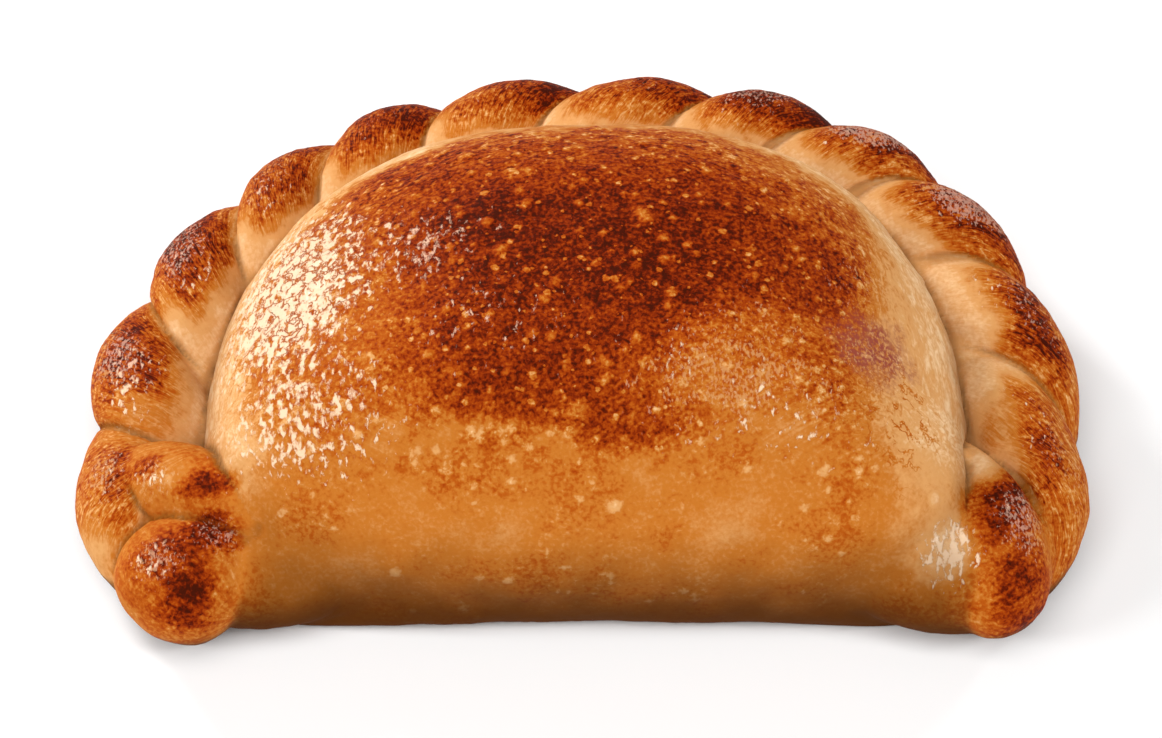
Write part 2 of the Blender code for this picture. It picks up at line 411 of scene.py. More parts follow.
def fractalNoise(points, size, octaves, seed):
    offset = np.array((seed * 17.3, seed * 5.1, seed * 9.7))  # each seed reads another part of the noise
    places = points / size + offset
    return np.array([noise.fractal(Vector(place), 1.0, 2.0, octaves) for place in places])


def patchMask(points, place, ragged=0.0):
    distance = np.linalg.norm((points - place["at"]) / place["reach"], axis=1)
    distance += ragged * place["ragged"]
    return 1 - smoothStep(1 - place["soft"], 1 + place["soft"], distance)


def pointTree(points):
    tree = KDTree(len(points))
    for index, point in enumerate(points):
        tree.insert(point, index)
    tree.balance()
    return tree


def joinShare(points):
    return np.max([patchMask(points, join) for join in softJoins.values()], axis=0)


def fillJoins(points, normals, edges):
    # the hollows are filled out to the smoothed skin, and nothing that stands proud is lowered
    smoothed = spread(points, edges, crustMesh["fillRounds"])
    outwards = np.maximum(np.einsum("ij,ij->i", smoothed - points, normals), 0)
    return points + normals * (outwards * joinShare(points))[:, None]


def pieceMasks(points, meshes, edges):
    # how much each point belongs to each piece, blurred a little over the joins and more over soft ones
    sizes = [len(mesh.vertices) for mesh in meshes.values()]
    owners = np.repeat(np.arange(len(meshes)), sizes)
    tree = pointTree([vertex.co for mesh in meshes.values() for vertex in mesh.vertices])
    nearest = owners[[tree.find(point)[1] for point in points]]
    belongs = np.stack([nearest == owner for owner in range(len(meshes))], axis=1)
    close = spread(belongs, edges, crustMesh["maskRounds"])
    wide = spread(close, edges, crustMesh["softRounds"])
    soft = joinShare(points)[:, None]
    return dict(zip(meshes, mixed(close, wide, soft).T))


def rimPlaces(points):
    # where round the rim each point lies, in degrees, and how far outward and upward of its middle line
    turns = np.linspace(*rim["turnsDeg"], rim["turnSteps"])
    frames = [rimFrame(math.radians(turn)) for turn in turns]
    centres, outwards, upwards = (np.array(part) for part in zip(*frames))
    tree = pointTree([(x, y, 0.0) for x, y, _ in centres])
    nearest = np.array([tree.find((x, y, 0.0))[1] for x, y, _ in points])
    offsets = points - centres[nearest]
    outward = np.einsum("ij,ij->i", offsets, outwards[nearest])
    upward = np.einsum("ij,ij->i", offsets, upwards[nearest])
    return turns[nearest], outward, upward


def strandPlaces(turns, outward, upward):
    # the place round the rope's section, in degrees from outside, and the share across the strand
    halfWidths = np.where(outward > 0, rope["halfWidth"], rope["innerHalfWidth"])
    placesDeg = np.degrees(np.arctan2(upward / rope["halfHeight"], outward / halfWidths))
    placesDeg = np.where(placesDeg < rope["turnOverDeg"], placesDeg + 360, placesDeg)
    edges = np.array([creaseTurn(crease, placesDeg) for crease in rope["creasesDeg"]])
    strand = np.clip((edges > turns).sum(axis=0) - 1, 0, len(edges) - 2)
    every = np.arange(len(turns))
    left, right = edges[strand, every], edges[strand + 1, every]
    return placesDeg, strand, np.clip((left - turns) / (left - right), 0.0, 1.0)


baking = {  # 0 is raw dough, 1 is burnt
    "seed": 3,
    "frontWall": 0.38, "margin": 0.12, "backMargin": 0.26, "creases": 0.20, "underside": 0.44,
    "ropeSides": 0.46, "ropeInside": 0.12, "strandStart": 0.12, "ends": 0.41,
    # the brown along each strand's ridge, from the left on
    "ropeTop": (0.76, 0.79, 0.78, 0.77, 0.78, 0.78, 0.72, 0.84, 0.79, 0.80, 0.87, 0.77),
    # round each strand, in degrees from its outside: where its brown begins and ends, from the left on
    "brownFromDeg": (68, 36, 10, -20, -30, -30, -30, -30, -10, 8, 44, 72),
    "brownToDeg": (104, 104, 100, 98, 96, 96, 92, 92, 90, 94, 85, 90),
    # noise in millimetres, how far it frays the patches' edges, and how far it shifts each level
    "blotchSize": 9.0, "raggedSize": 4.5, "ragged": 0.22, "frayedSize": 1.3, "frayed": 0.16,
    "edgeSize": 2.5, "edge": 0.3,
    "unevenFront": 0.10, "unevenMargin": 0.05, "unevenEnds": 0.08, "unevenRope": 0.20,
    "creaseHollow": (0.08, 0.35), "creaseShare": 0.8, "facingDown": (0.3, 0.8),
}

strandBrown = {  # how a strand's brown fades: round the strand in degrees, and in shares of its width
    "fadeInDeg": (-25, 20), "fadeOutDeg": (-18, 14), "raggedDeg": 40,
    "start": (0.10, 0.45), "raggedStart": 0.5, "tail": (0.76, 1.0), "raggedTail": 0.3,
    "fullStrands": (4, 7),  # at the back the brown runs right across
    "creamDeg": (2, 32), "raggedCreamDeg": 30, "undersideDeg": 230,
    "paleStart": (0.05, 0.30), "paleStartDeg": (66, 100),
}

paleMargin = {  # the pale band on the dome beside the rope, in drawn millimetres
    "fade": (-15.4, -12.0), "softerAtBack": 5.0, "ragged": 4, "thinner": 0.5,
    "thinnerY": (15.0, 40.0), "backY": (36.0, 46.0), "frontY": (-12.0, -6.0),
}

domePatches = {  # how well baked the dome is, each patch lying over the ones before it
    "washedTop": patch((-3, 14, 32), (42, 26, 17), 0.26, level=0.57),
    "rustLeft": patch((-21, 31, 29), (11, 6, 8), 0.70, level=0.71),
    "brownTop": patch((1, 16, 35), (34, 21, 14), 0.34, level=0.70),
    "darkTop": patch((2, 10, 35), (25, 16, 14), 0.50, level=0.80),
    "darkCore": patch((4, 14, 36), (16, 9, 12), 0.60, level=0.88),
    "darkLeft": patch((-12, 19.5, 35), (7, 4.5, 12), 0.60, level=0.90),
    "leftShoulder": patch((-37, 12, 26), (10, 14, 12), level=0.46),
    "shoulderInner": patch((-29, 5, 30), (8, 10, 9), level=0.49),
    "lowBlotch": patch((6, -8, 32), (9, 4.5, 8), 0.60, level=0.72),
    "frontDark": patch((-7, -4, 33), (9, 4.5, 8), 0.60, level=0.80),
    "palePatch": patch((19, -4.5, 32), (10, 5.5, 9), 0.75, ragged=2.0, level=0.44),
    "palePatchTop": patch((23, 0.5, 33), (6, 5, 8), ragged=2.0, level=0.52),
    "rightDrip": patch((30.5, 0, 30), (3.0, 8, 7), 0.70, ragged=2.0, level=0.57),
    "rightBrown": patch((29, 13, 31), (9, 7, 8), 0.50, level=0.76),
    "paleRight": patch((45, 6, 24), (8.5, 25, 18), 0.60, level=0.19),
    "paleLeft": patch((-46, 2, 19), (4.5, 22, 14), 0.60, level=0.16),
    "besideRightEnd": patch((48.5, -20.5, 8), (3, 5, 6), 0.90, level=0.52),
    "besideLeftEnd": patch((-41.5, -20.5, 8), (3, 5, 6), 0.90, level=0.50),
    # painted highlight: the pale patch at the right corner stands for a glint of light
    "rightCornerHighlight": patch((45.8, -17.5, 12.5), (3.2, 3.3, 4.5), level=0.06),
}

ropePatches = {
    "firstTail": patch((-56.5, 3, 13), (4.5, 4, 5), 0.70, level=0.35),
    "outerLow": patch((-61, -14, 6), (4, 5, 6), 0.60, level=0.24),
    "besideRightEnd": patch((53, 2, 14), (2.6, 4, 5), 0.90, level=0.33),
}

endPatches = {
    "leftEndBrown": patch((-51, -19, 15), (5.0, 3.5, 5), 0.60, level=0.70),
    "leftEndDark": patch((-46, -15.8, 15), (3.2, 2.6, 5), 0.50, level=0.90),
    "leftEndLow": patch((-48.5, -23, 11.5), (4.0, 2.8, 4), 0.60, level=0.92),
    "leftEndEdge": patch((-44.8, -21, 9), (1.8, 7, 6), 0.90, level=0.44),
    "innerBrown": patch((-47, -9.8, 16), (4.0, 1.6, 5), 0.60, level=0.78),
    "innerStart": patch((-54.6, -6.2, 15), (2.0, 1.6, 4), 0.60, level=0.68),
    "innerMiddle": patch((-51.2, -7.8, 17), (1.8, 2.2, 4), level=0.33),
    "rightEndDark": patch((53.4, -11.5, 15), (4.4, 6.8, 6), 0.60, level=0.79),
    "rightEndLow": patch((54, -21, 10), (4.6, 5.5, 7), 0.60, level=0.76),
    "rightEndTip": patch((50.5, -3.5, 16), (3.0, 4.2, 5), 0.60, level=0.10),
    # painted highlight at the right end's corner
    "rightEndHighlight": patch((46.5, -17.0, 12), (2.6, 3.4, 4), level=0.04),
    "rightEndEdge": patch((50.0, -20, 9), (1.6, 8, 7), 0.90, level=0.44),
}

paintedSheenPatches = {  # painted sheen: where fine pale specks over the brown stand in for a soft sheen of light, and how thickly
    "palePatch": patch((19, -4.5, 32), (10, 6, 9), ragged=2.5, cover=0.60),
    "palePatchTop": patch((22, 1, 33), (7, 6, 8), ragged=2.5, cover=0.46),
    "underBruise": patch((36, 3, 28), (6, 6, 7), ragged=2.0, cover=0.45),
    "rightMargin": patch((36, 13, 28), (5, 8, 8), cover=0.40),
    "darkLeft": patch((-15, 17, 34), (9, 6, 9), cover=0.12),
    "rightEnd": patch((55.5, -13, 14), (3.6, 6, 5), 0.70, cover=0.60),
    "leftEndDark": patch((-45.5, -16, 15), (4, 3, 5), cover=0.48),
    "leftEnd": patch((-53, -19.5, 15), (3.6, 3, 4), cover=0.58),
    "inner": patch((-53.5, -8, 16), (3.4, 2.4, 4), cover=0.58),
    "outer": patch((-60.5, -5, 13), (2.6, 4, 4), cover=0.58),
}
ridgePaintedSheen = {  # and along the strands' ridges, with each strand's share of it
    "cover": 0.70, "bandDeg": (22.0, 88.0),
    "shares": (0.55, 0.8, 0.8, 0.6, 0.3, 0.3, 0.4, 0.7, 1.0, 1.0, 0.6, 0.6),
}

paintedHighlightPatches = {  # painted highlights: where pale flecks are painted in the colour for glints of light, how thickly they lie, and how glossy the real coat is there
    "leftShoulder": patch((-36, 13, 26), (11, 14, 12), cover=0.90, gloss=0.6),
    "upperLeft": patch((-22, 15, 33), (9, 7, 8), cover=0.50, gloss=0.05),
    "darkLeft": patch((-14, 15, 35), (7, 6, 8), cover=0.22, gloss=0.0),
    "palePatch": patch((12, -2, 34), (3, 6, 6), cover=0.36, gloss=0.05),
    "lowerLeft": patch((-34, -5, 26), (13, 9, 9), cover=0.61, gloss=0.35),
    "middle": patch((-12, 3, 34), (14, 8, 9), cover=0.27, gloss=0.05),
    "lowerRight": patch((25, -8, 31), (14, 7, 9), cover=0.30, gloss=0.10),
    "firstStrand": patch((-58, 10, 15), (4.0, 6, 6), cover=0.48, gloss=0.8),
    "outer": patch((-60.5, -5, 13), (2.2, 3, 4), cover=0.30, gloss=0.9),
    "leftEnd": patch((-53, -19.5, 15), (3.0, 2.4, 4), cover=0.46, gloss=1.0),
    "leftEndDark": patch((-44, -16, 15), (3, 3, 5), cover=0.15, gloss=0.7),
    "inner": patch((-54, -8, 16), (2.6, 2, 4), cover=0.36, gloss=1.0),
    "rightEnd": patch((54, -12, 16), (3, 4, 5), cover=0.28, gloss=0.8),
    "rightCornerHighlight": patch((46, -17.5, 12), (4, 4, 5), 0.90, cover=0.94, gloss=1.0),
}
ridgePaintedHighlight = {  # and along the strands' ridges, with each strand's share of it
    "cover": 0.38, "gloss": 0.6, "bandDeg": (60.0, 110.0),
    "shares": (0.9, 1.0, 1.0, 0.8, 0.4, 0.3, 0.3, 0.5, 0.7, 0.6, 0.7, 0.6),
}


bridges = ("leftBridge", "rightBridge")
endLobes = ("leftInner", "leftEnd", "rightEnd")


def masked(masks, *names):
    return sum(masks[name] for name in names)


def mixed(values, other, share):
    return values * (1 - share) + other * share


def patched(values, patches, points, ragged):
    for place in patches.values():
        values = mixed(values, place["level"], patchMask(points, place, ragged))
    return values


def ropeLevel(points, places, ragged, blotch):
    # cream at its start and inside, brown over the ridge, with golden margins at the ends of the rope
    placesDeg, strand, shares = places
    look = strandBrown
    fromDeg = np.array(baking["brownFromDeg"])[strand]
    toDeg = np.array(baking["brownToDeg"])[strand]
    fadeIn, fadeOut, cream = look["fadeInDeg"], look["fadeOutDeg"], look["creamDeg"]
    raggedDeg = placesDeg + look["raggedDeg"] * ragged
    brown = 1 - smoothStep(toDeg + fadeOut[0], toDeg + fadeOut[1], raggedDeg)
    brown *= smoothStep(fromDeg + fadeIn[0], fromDeg + fadeIn[1], raggedDeg)
    brown *= smoothStep(*look["start"], shares + look["raggedStart"] * ragged)
    tail = 1 - smoothStep(*look["tail"], shares + look["raggedTail"] * ragged)
    first, last = look["fullStrands"]
    brown *= np.where((strand < first) | (strand > last), tail, 1.0)
    ridge = np.array(baking["ropeTop"])[strand] + baking["unevenRope"] * blotch
    level = mixed(baking["ropeSides"], ridge, brown)
    raggedDeg = placesDeg + look["raggedCreamDeg"] * ragged
    inside = smoothStep(toDeg + cream[0], toDeg + cream[1], raggedDeg)
    inside *= placesDeg < look["undersideDeg"]
    level = mixed(level, baking["ropeInside"], inside)
    start = (1 - smoothStep(*look["paleStart"], shares)) * smoothStep(*look["paleStartDeg"], placesDeg)
    return patched(mixed(level, baking["strandStart"], start), ropePatches, points, ragged)


def bakedLevel(points, normals, masks, places, outward, hollow):
    seed = baking["seed"]
    blotch = fractalNoise(points, baking["blotchSize"], 3, seed)
    ragged = baking["ragged"] * fractalNoise(points, baking["raggedSize"], 5, seed + 1)
    ragged += baking["frayed"] * fractalNoise(points, baking["frayedSize"], 2, seed + 2)
    onDome = masks["body"]
    onRope = masked(masks, "rope", "web")
    backward = points[:, 1]

    onBody = patched(baking["frontWall"] + baking["unevenFront"] * blotch, domePatches, points, ragged)
    atBack = smoothStep(*paleMargin["backY"], backward)
    thinner = paleMargin["thinner"] * smoothStep(*paleMargin["thinnerY"], backward)
    low, high = paleMargin["fade"]
    high = high + paleMargin["softerAtBack"] * atBack
    margin = smoothStep(low, high, outward - thinner + paleMargin["ragged"] * ragged)
    margin *= smoothStep(*paleMargin["frontY"], backward)
    marginLevel = mixed(baking["margin"], baking["backMargin"], atBack)
    onBody = mixed(onBody, marginLevel + baking["unevenMargin"] * blotch, margin)
    onBody = patched(onBody, endPatches, points, ragged)
    ends = patched(baking["ends"] + baking["unevenEnds"] * blotch, endPatches, points, ragged)

    level = onBody * (onDome + masked(masks, *bridges)) + ends * masked(masks, *endLobes)
    level += ropeLevel(points, places, ragged, blotch) * onRope
    creased = baking["creaseShare"] * smoothStep(*baking["creaseHollow"], hollow) * (onRope + onDome)
    level = mixed(level, baking["creases"], creased)
    level = mixed(level, baking["underside"], smoothStep(*baking["facingDown"], -normals[:, 2]))
    return np.clip(level, 0.0, 1.0)


shading = {  # where the crust is darker and duller: painted shade at its foot, which is also browned there, and down in its creases
    "footLow": 4.0, "footHigh": 22.5, "ropeHigh": 7.0, "foot": 0.95, "raggedSize": 6.0, "ragged": 1.5,
    "creaseHollow": (0.14, 0.70), "creases": 0.40, "lineHollow": (0.02, 0.14),
    "bodyLine": 0.72, "strandLine": 0.45, "endLine": 0.55, "strandLineShare": 0.045,
}


def creaseLines(points, masks, places, hollow):
    # thin lines of painted shade down in the creases: round the body, between the strands and round the
    # rope's ends
    shares = places[2]
    body = masked(masks, "body", *bridges)
    lines = shading["bodyLine"] * (4 * body * (1 - body)) ** 3
    between = 1 - smoothStep(0.0, shading["strandLineShare"], np.minimum(shares, 1 - shares))
    lines = np.maximum(lines, shading["strandLine"] * between * masks["rope"])
    for name in endLobes:
        join = (4 * masks[name] * (1 - masks[name])) ** 4
        lines = np.maximum(lines, shading["endLine"] * join)
    return lines * smoothStep(*shading["lineHollow"], hollow) * (1 - joinShare(points))


# painted shade, darker towards the foot and down in the creases; at the foot it is partly real browning
def shadeAndBrowningLevel(points, masks, hollow, lines):
    ragged = fractalNoise(points, shading["raggedSize"], 3, baking["seed"] + 4)
    high = mixed(shading["ropeHigh"], shading["footHigh"], masked(masks, "body", *bridges))
    foot = 1 - smoothStep(shading["footLow"], high, points[:, 2] + shading["ragged"] * ragged)
    crease = smoothStep(*shading["creaseHollow"], hollow) * (1 - joinShare(points))
    return np.maximum(np.maximum(shading["foot"] * foot, shading["creases"] * crease), lines)


ridgeFade = {  # how the bands along the ridges end: in degrees, and in shares of a strand's width
    "lowDeg": 20, "highDeg": 15, "start": (0.1, 0.35), "tail": (0.6, 0.9),
}


def coverLevel(kind, patches, ridge, points, places, masks, ragged=0.0):
    cover = np.zeros(len(points))
    for place in patches.values():
        share = patchMask(points, place, ragged)
        cover = np.maximum(cover, place[kind] * (share ** 2 if kind == "gloss" else share))
    placesDeg, strand, shares = places
    (low, high), lowFade, highFade = ridge["bandDeg"], ridgeFade["lowDeg"], ridgeFade["highDeg"]
    band = smoothStep(low - lowFade, low + lowFade, placesDeg)
    band *= 1 - smoothStep(high - highFade, high + highFade, placesDeg)
    band *= smoothStep(*ridgeFade["start"], shares) * (1 - smoothStep(*ridgeFade["tail"], shares))
    band *= np.array(ridge["shares"])[strand]
    return np.maximum(cover, ridge[kind] * band * masks["rope"])


relief = {  # heights in millimetres
    "seed": 21,
    "unevenSize": 13.0, "uneven": 0.30,
    "lumpSize": 3.4, "lumps": 0.12,
    "crackleSize": 1.6, "crackle": 0.06, "crackleLevels": (0.45, 0.65),
    "crease": 0.8, "flatFoot": (0.2, 2.0),
}

blisters = {
    "seed": 5, "onDome": 0.95, "above": 4.0,
    "small": {"count": 240, "radius": (0.45, 0.75), "height": 0.14, "lowest": 0.40},
    "large": {"count": 34, "radius": (0.8, 1.3), "height": 0.16, "lowest": 0.0},
    # on the front, each with its middle and radius
    "placed": (
        ((-13.0, -11.0, 30.0), 1.55), ((-20.5, -12.6, 28.0), 1.0), ((-18.0, -12.5, 28.4), 0.7),
        ((-34.0, -5.5, 28.0), 0.6), ((-31.5, -6.0, 28.7), 0.6), ((-29.0, -6.0, 29.2), 0.65),
    ),
}


def raiseBlisters(points, heights, onDome, level):
    # small ones crowd the well baked top, larger ones lie anywhere on the dome
    chooser = random.Random(blisters["seed"])
    tree = pointTree(points)
    cover = np.zeros(len(points))
    onTop = (onDome > blisters["onDome"]) & (points[:, 2] > blisters["above"])
    placed = [(tree.find(centre)[0], radius, blisters["large"]["height"])
              for centre, radius in blisters["placed"]]
    for kind in ("large", "small"):
        settings = blisters[kind]
        allowed = np.flatnonzero(onTop & (level > settings["lowest"]))
        for _ in range(settings["count"]):
            centre = Vector(points[chooser.choice(allowed)])
            placed.append((centre, chooser.uniform(*settings["radius"]), settings["height"]))
    for centre, radius, height in placed:
        for _, index, distance in tree.find_range(centre, radius):
            cap = 1 - (distance / radius) ** 3
            if cap > cover[index]:
                heights[index] += height * (cap - cover[index])
                cover[index] = cap
    return cover


def reliefHeights(points, masks, level, lines):
    onDome = masks["body"]
    heights = relief["uneven"] * fractalNoise(points, relief["unevenSize"], 2, relief["seed"])
    heights += relief["lumps"] * fractalNoise(points, relief["lumpSize"], 3, relief["seed"] + 1)
    ridges = 1 - 2 * np.abs(fractalNoise(points, relief["crackleSize"], 2, relief["seed"] + 2))
    heights += relief["crackle"] * ridges * smoothStep(*relief["crackleLevels"], level)
    heights -= relief["crease"] * lines
    cover = raiseBlisters(points, heights, onDome, level)
    return heights, cover


def setAttribute(mesh, name, values):
    isVector = np.ndim(values) == 2
    attribute = mesh.attributes.new(name, "FLOAT_VECTOR" if isVector else "FLOAT", "POINT")
    values = np.asarray(values, np.float32).ravel()
    attribute.data.foreach_set("vector" if isVector else "value", values)


tones = {  # the colour of dough, from raw to burnt
    "raw": (0.0, (0.90, 0.61, 0.34, 1)),
    "pale": (0.20, (0.70, 0.34, 0.115, 1)),
    "golden": (0.38, (0.54, 0.17, 0.020, 1)),
    "orange": (0.52, (0.45, 0.090, 0.005, 1)),
    "rust": (0.66, (0.34, 0.043, 0.0015, 1)),
    "brown": (0.78, (0.22, 0.019, 0.0008, 1)),
    "dark": (0.90, (0.105, 0.007, 0.0006, 1)),
    "burnt": (1.0, (0.055, 0.005, 0.001, 1)),
}

patterns = {  # how the groups draw, counted in features
    "grainRange": (0.25, 0.75),
    "spotsRagged": (3.0, 2.0, 0.35), "cracksRagged": (2.2, 3.0, 1.5),  # scale, detail and push
    "smallestSpot": 0.45, "spotCore": 0.62,
    "fleckStretch": (1.3, 0.75, 1.0),  # the flecks are longest from front to back
    "fleckNoise": {"Scale": 1.0, "Detail": 4.0, "Roughness": 0.55, "Distortion": 0.25},
    "fleckRange": (0.28, 0.72), "fleckSoftness": 0.26,
}

crustFinish = {  # sizes and heights in millimetres, amounts in shares of the tones
    "mottle": {"Size mm": 2.2, "Octaves": 3.0, "Distortion": 0.6},
    "mottleAmount": 0.24, "mottleHeight": 0.03,
    "grain": {"Size mm": 0.55, "Octaves": 2.0, "Distortion": 0.3},
    "grainAmount": 0.46, "grainHeight": 0.03,
    "streak": {"Size mm": 0.42, "Octaves": 3.0, "Distortion": 1.4}, "streakLength": 2.2,
    "streakAmount": 0.62, "streakHeight": 0.12,
    "spots": {"Spacing mm": 2.2, "Size": 0.33, "Share": 0.80}, "spotLift": 0.49, "spotHeight": 0.04,
    "dots": {"Spacing mm": 1.2, "Size": 0.31, "Share": 0.46}, "dotStrength": 0.85,
    "cracks": {"Size mm": 2.3, "Width": 0.12}, "veins": {"Size mm": 4.2, "Width": 0.06},
    "crackLevel": 0.54, "crackDepth": 0.04,
    # painted highlights: pale flecks in the colour where light glints, with a little real relief
    "highlightFleckSize": 1.0, "fleckAmount": 0.90, "highlightFleckHeight": 0.09,
    "fleckColor": (0.96, 0.69, 0.46, 1), "fleckOnBrownColor": (0.80, 0.48, 0.33, 1),
    # painted sheen: fine pale specks, mauver over the brown
    "paintedSheenSize": 0.50, "paintedSheenAmount": 0.60,
    "paintedSheenColor": (0.66, 0.33, 0.13, 1), "paintedSheenOnBrownColor": (0.66, 0.37, 0.27, 1),
    # the colour of painted shade in the creases and at the foot, where it is partly real browning
    "bruiseColor": (0.31, 0.062, 0.042, 1), "shadeAndBrowningColor": (0.075, 0.020, 0.002, 1),
    "sparkle": {"Size mm": 0.42, "Octaves": 2.0, "Distortion": 0.4}, "sparkleHeight": 0.05,
    "shadeAndBrowningRoughness": 0.9,
    # from two values of what steers it to how much shows there
    "wellBaked": (0.30, 0.60), "grainShows": (0.30, 0.58, 0.16, 1.0),
    "streaksShow": (0.20, 0.58, 0.40, 1.0),
    "cracksShow": (0.25, 0.50), "veinsShow": (0.36, 0.58),
    "bruiseShows": (0.2, 0.7, 0.3, 1.0),
    "onBrown": (0.60, 0.78), "roughness": (0.15, 0.50, 0.72, 0.70),
    "coatInCreases": (0.1, 0.6, 1.0, 0.0), "coatSparkles": (0.46, 0.68),
    "coatOnBrown": (0.60, 0.80, 1.0, 0.6), "coatOnFlecks": (0.0, 1.0, 0.2, 1.0),
    "shader": {
        "Coat Roughness": 0.11, "IOR": 1.38, "Specular IOR Level": 0.12,
        "Specular Tint": (1.0, 0.66, 0.36, 1), "Subsurface Weight": 0.04,
        "Subsurface Radius": (1.0, 0.35, 0.12), "Subsurface Scale": 0.002,
    },
}


def feed(tree, node, values):
    # each input, by its name or number, gets a fixed value or another node's output
    for name, value in values.items():
        if isinstance(value, bpy.types.NodeSocket):
            tree.links.new(value, node.inputs[name])
        else:
            node.inputs[name].default_value = value


def addNode(tree, kind, values, **settings):
    node = tree.nodes.new("ShaderNode" + kind)
    for name, setting in settings.items():
        setattr(node, name, setting)
    feed(tree, node, values)
    return node


def mathNode(tree, operation, *values):
    return addNode(tree, "Math", dict(enumerate(values)), operation=operation).outputs[0]


def times(tree, value, *factors):
    for factor in factors:
        value = mathNode(tree, "MULTIPLY", value, factor)
    return value


def rangeNode(tree, value, fromLow, fromHigh, toLow=0.0, toHigh=1.0, kind="SMOOTHSTEP"):
    limits = {"From Min": fromLow, "From Max": fromHigh, "To Min": toLow, "To Max": toHigh}
    node = addNode(tree, "MapRange", {"Value": value, **limits}, interpolation_type=kind)
    return node.outputs["Result"]


mixSockets = {"RGBA": (6, 7, 2), "FLOAT": (2, 3, 0)}  # a Mix node's two inputs and its output


def mixNode(tree, share, first, second, kind="RGBA"):
    # first where the share is 0, second where it is 1
    one, other, result = mixSockets[kind]
    return addNode(tree, "Mix", {0: share, one: first, other: second}, data_type=kind).outputs[result]


def placeGroup(tree, group, values):
    return addNode(tree, "Group", values, node_tree=group).outputs[0]


def readAttribute(tree, name, output="Fac"):
    return addNode(tree, "Attribute", {}, attribute_name=name).outputs[output]


def newGroup(name, numbers, output, kind="NodeSocketFloat", placed=True):
    tree = bpy.data.node_groups.new(name, "ShaderNodeTree")
    if placed:
        tree.interface.new_socket("Vector", in_out="INPUT", socket_type="NodeSocketVector")
    for socket, value in numbers.items():
        made = tree.interface.new_socket(socket, in_out="INPUT", socket_type="NodeSocketFloat")
        made.default_value = value
    tree.interface.new_socket(output, in_out="OUTPUT", socket_type=kind)
    return tree, tree.nodes.new("NodeGroupInput").outputs, tree.nodes.new("NodeGroupOutput")


def bakedTonesGroup():
    tree, given, result = newGroup(
        "bakedTones", {"Level": 0.5}, "Color", "NodeSocketColor", placed=False)
    ramp = addNode(tree, "ValToRGB", {"Fac": given["Level"]})
    ramp.color_ramp.interpolation = "EASE"
    stops = ramp.color_ramp.elements
    stops.remove(stops[1])
    for index, (place, color) in enumerate(tones.values()):
        stop = stops[0] if index == 0 else stops.new(place)
        stop.position = place
        stop.color = color
    feed(tree, result, {"Color": ramp.outputs["Color"]})
    return tree


def scaledPlace(tree, given, sizeName):
    # the object's own coordinates, counted in features of a size given in millimetres
    perFeature = mathNode(tree, "DIVIDE", 1000.0, given[sizeName])
    place = {0: given["Vector"], "Scale": perFeature}
    return addNode(tree, "VectorMath", place, operation="SCALE").outputs[0]


def raggedPlace(tree, place, scale, detail, push):
    # a place pushed about by a noise, so that what is drawn there comes out ragged
    field = addNode(tree, "TexNoise", {"Vector": place, "Scale": scale, "Detail": detail})
    pushed = {0: field.outputs["Color"], 1: (push, push, push), 2: place}
    return addNode(tree, "VectorMath", pushed, operation="MULTIPLY_ADD").outputs[0]


def doughGrainGroup():
    numbers = {"Size mm": 1.0, "Octaves": 2.0, "Distortion": 0.0}
    tree, given, result = newGroup("doughGrain", numbers, "Value")
    place = scaledPlace(tree, given, "Size mm")
    shape = {"Scale": 1.0, "Detail": given["Octaves"], "Distortion": given["Distortion"]}
    field = addNode(tree, "TexNoise", {"Vector": place, **shape})
    value = rangeNode(tree, field.outputs["Fac"], *patterns["grainRange"], kind="LINEAR")
    feed(tree, result, {"Value": value})
    return tree


def paleSpotsGroup():
    numbers = {"Spacing mm": 2.5, "Size": 0.3, "Share": 0.5}
    tree, given, result = newGroup("paleSpots", numbers, "Mask")
    place = raggedPlace(tree, scaledPlace(tree, given, "Spacing mm"), *patterns["spotsRagged"])
    cells = addNode(tree, "TexVoronoi", {"Vector": place, "Scale": 1.0})
    split = addNode(tree, "SeparateColor", {"Color": cells.outputs["Color"]})
    chosen = mathNode(tree, "LESS_THAN", split.outputs["Red"], given["Share"])
    smallest = patterns["smallestSpot"]
    size = rangeNode(tree, split.outputs["Green"], 0.0, 1.0, smallest, 1.0, kind="LINEAR")
    radius = times(tree, given["Size"], size)
    cap = rangeNode(tree, cells.outputs["Distance"], radius, times(tree, radius, patterns["spotCore"]))
    feed(tree, result, {"Mask": times(tree, cap, chosen)})
    return tree


def fineCracksGroup():
    tree, given, result = newGroup("fineCracks", {"Size mm": 3.0, "Width": 0.05}, "Mask")
    place = raggedPlace(tree, scaledPlace(tree, given, "Size mm"), *patterns["cracksRagged"])
    cells = addNode(tree, "TexVoronoi", {"Vector": place, "Scale": 1.0}, feature="DISTANCE_TO_EDGE")
    feed(tree, result, {"Mask": rangeNode(tree, cells.outputs["Distance"], given["Width"], 0.0)})
    return tree


def glossFlecksGroup():
    # ragged flecks that lie more thickly where the cover is higher
    tree, given, result = newGroup("glossFlecks", {"Size mm": 1.2, "Cover": 0.5}, "Mask")
    stretch = {0: scaledPlace(tree, given, "Size mm"), 1: patterns["fleckStretch"]}
    place = addNode(tree, "VectorMath", stretch, operation="MULTIPLY").outputs[0]
    field = addNode(tree, "TexNoise", {"Vector": place, **patterns["fleckNoise"]})
    value = rangeNode(tree, field.outputs["Fac"], *patterns["fleckRange"], kind="LINEAR")
    low = mathNode(tree, "SUBTRACT", 1.0, given["Cover"])
    high = mathNode(tree, "ADD", low, patterns["fleckSoftness"])
    feed(tree, result, {"Mask": rangeNode(tree, value, low, high)})
    return tree


